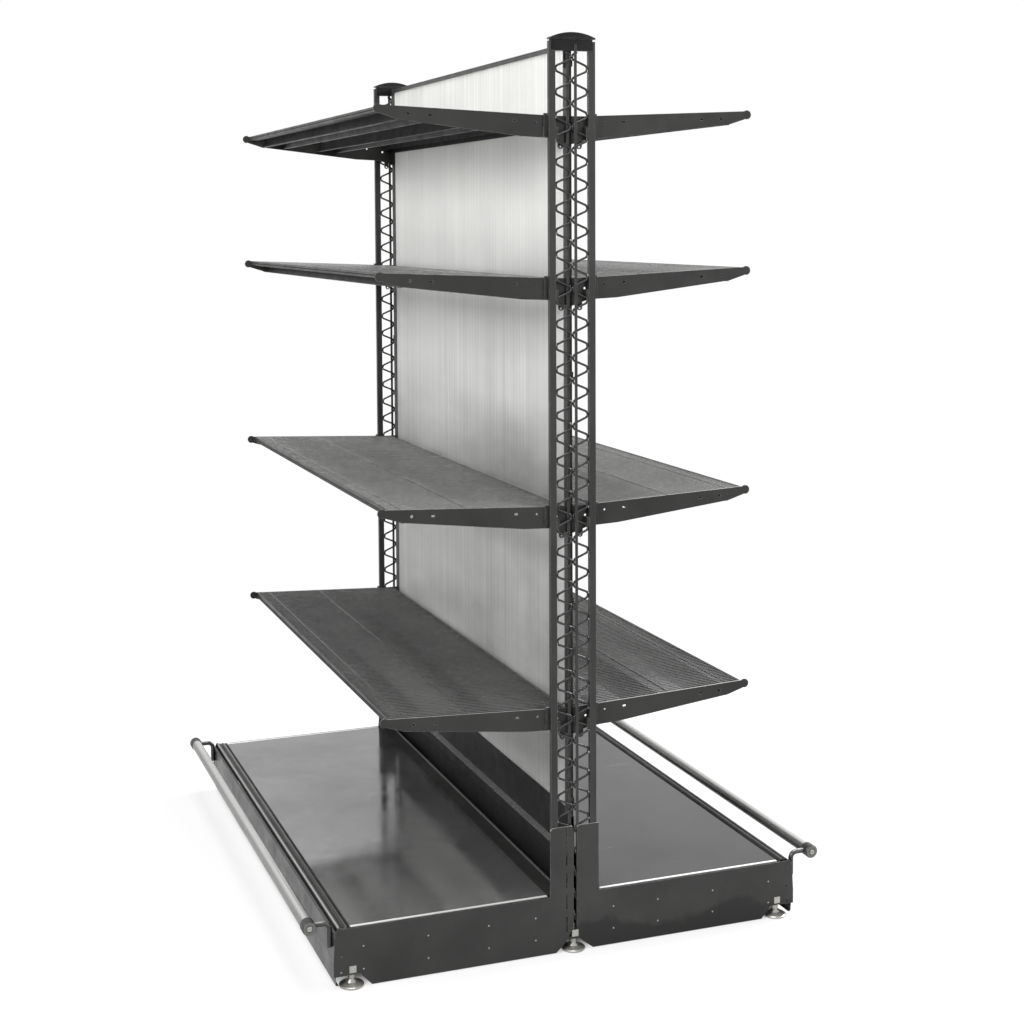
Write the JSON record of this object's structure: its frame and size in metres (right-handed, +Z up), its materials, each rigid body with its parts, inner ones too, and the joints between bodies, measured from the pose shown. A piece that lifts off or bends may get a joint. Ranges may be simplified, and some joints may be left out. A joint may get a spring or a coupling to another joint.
{
  "type": "gondola shelving",
  "caption": "Double-sided gondola bay with wire-lattice posts, tilted wire shelves on hooked brackets, a translucent centre panel and a low steel base with bumper tubes.",
  "frame": {"origin": "on the floor under the middle of the bay", "axes": "+Z up; X across the bay, with the two shelf sides at -X and +X; Y along the bay, from the near post at -Y to the far post at +Y"},
  "size_m": [1.2398, 1.372, 2.027],
  "materials": {
    "dark_paint": "satin charcoal paint",
    "wire_paint": "satin charcoal paint, worn bright on the edges",
    "cap_plastic": "satin moulded",
    "panel_sheet": "translucent fluted twin-wall sheet",
    "deck_steel": "dark satin sheet",
    "tube_steel": "satin tube",
    "arm_steel": "dull bar",
    "zinc": "zinc plated"
  },
  "bodies": {
    "frame": {"post_bars_near": "dark_paint", "post_bars_far": "dark_paint", "post_wires_near": "dark_paint", "post_wires_far": "dark_paint", "post_rods_near": "dark_paint", "post_rods_far": "dark_paint", "cap_near": "cap_plastic", "cap_far": "cap_plastic", "panel": "panel_sheet", "panel_channels": "dark_paint", "panel_rails": "dark_paint", "base_plate_near_left": "dark_paint", "base_plate_near_right": "dark_paint", "base_plate_far_left": "dark_paint", "base_plate_far_right": "dark_paint", "kick_left": "dark_paint", "kick_right": "dark_paint", "back_plate_left": "dark_paint", "back_plate_right": "dark_paint", "bumper_tube_left": "tube_steel", "bumper_tube_right": "tube_steel", "bumper_arms_left": "arm_steel", "bumper_arms_right": "arm_steel", "bumper_ends_left": "dark_paint", "bumper_ends_right": "dark_paint", "foot_nuts": "zinc"},
    "shelf_left_1": {"shelf_left_1_brackets": "dark_paint", "shelf_left_1_frame": "dark_paint", "shelf_left_1_deck": "wire_paint"},
    "shelf_left_2": {"shelf_left_2_brackets": "dark_paint", "shelf_left_2_frame": "dark_paint", "shelf_left_2_deck": "wire_paint"},
    "shelf_left_3": {"shelf_left_3_brackets": "dark_paint", "shelf_left_3_frame": "dark_paint", "shelf_left_3_deck": "wire_paint"},
    "shelf_left_4": {"shelf_left_4_brackets": "dark_paint", "shelf_left_4_frame": "dark_paint", "shelf_left_4_deck": "wire_paint"},
    "shelf_right_1": {"shelf_right_1_brackets": "dark_paint", "shelf_right_1_frame": "dark_paint", "shelf_right_1_deck": "wire_paint"},
    "shelf_right_2": {"shelf_right_2_brackets": "dark_paint", "shelf_right_2_frame": "dark_paint", "shelf_right_2_deck": "wire_paint"},
    "shelf_right_3": {"shelf_right_3_brackets": "dark_paint", "shelf_right_3_frame": "dark_paint", "shelf_right_3_deck": "wire_paint"},
    "shelf_right_4": {"shelf_right_4_brackets": "dark_paint", "shelf_right_4_frame": "dark_paint", "shelf_right_4_deck": "wire_paint"},
    "base_deck_left_tray": {"base_deck_left": "deck_steel", "base_deck_left_infill": "deck_steel"},
    "base_deck_right_tray": {"base_deck_right": "deck_steel", "base_deck_right_infill": "deck_steel"},
    "leveller_near_left": {"foot_near_left": "zinc"},
    "leveller_near_mid": {"foot_near_mid": "zinc"},
    "leveller_near_right": {"foot_near_right": "zinc"},
    "leveller_far_left": {"foot_far_left": "zinc"},
    "leveller_far_mid": {"foot_far_mid": "zinc"},
    "leveller_far_right": {"foot_far_right": "zinc"}
  },
  "joints": [
    {"name": "shelf_left_1_lift", "type": "slide", "parent": "frame", "child": "shelf_left_1", "axis": [0, 0, 1], "range_m": [0, 0.01]},
    {"name": "shelf_left_2_lift", "type": "slide", "parent": "frame", "child": "shelf_left_2", "axis": [0, 0, 1], "range_m": [0, 0.01]},
    {"name": "shelf_left_3_lift", "type": "slide", "parent": "frame", "child": "shelf_left_3", "axis": [0, 0, 1], "range_m": [0, 0.01]},
    {"name": "shelf_left_4_lift", "type": "slide", "parent": "frame", "child": "shelf_left_4", "axis": [0, 0, 1], "range_m": [0, 0.01]},
    {"name": "shelf_right_1_lift", "type": "slide", "parent": "frame", "child": "shelf_right_1", "axis": [0, 0, 1], "range_m": [0, 0.01]},
    {"name": "shelf_right_2_lift", "type": "slide", "parent": "frame", "child": "shelf_right_2", "axis": [0, 0, 1], "range_m": [0, 0.01]},
    {"name": "shelf_right_3_lift", "type": "slide", "parent": "frame", "child": "shelf_right_3", "axis": [0, 0, 1], "range_m": [0, 0.01]},
    {"name": "shelf_right_4_lift", "type": "slide", "parent": "frame", "child": "shelf_right_4", "axis": [0, 0, 1], "range_m": [0, 0.01]},
    {"name": "base_deck_left_lift", "type": "slide", "parent": "frame", "child": "base_deck_left_tray", "axis": [0, 0, 1], "range_m": [0, 0.1]},
    {"name": "base_deck_right_lift", "type": "slide", "parent": "frame", "child": "base_deck_right_tray", "axis": [0, 0, 1], "range_m": [0, 0.1]},
    {"name": "leveller_near_left_screw", "type": "slide", "parent": "frame", "child": "leveller_near_left", "axis": [0, 0, 1], "range_m": [-0.02, 0]},
    {"name": "leveller_near_mid_screw", "type": "slide", "parent": "frame", "child": "leveller_near_mid", "axis": [0, 0, 1], "range_m": [-0.02, 0]},
    {"name": "leveller_near_right_screw", "type": "slide", "parent": "frame", "child": "leveller_near_right", "axis": [0, 0, 1], "range_m": [-0.02, 0]},
    {"name": "leveller_far_left_screw", "type": "slide", "parent": "frame", "child": "leveller_far_left", "axis": [0, 0, 1], "range_m": [-0.02, 0]},
    {"name": "leveller_far_mid_screw", "type": "slide", "parent": "frame", "child": "leveller_far_mid", "axis": [0, 0, 1], "range_m": [-0.02, 0]},
    {"name": "leveller_far_right_screw", "type": "slide", "parent": "frame", "child": "leveller_far_right", "axis": [0, 0, 1], "range_m": [-0.02, 0]}
  ]
}
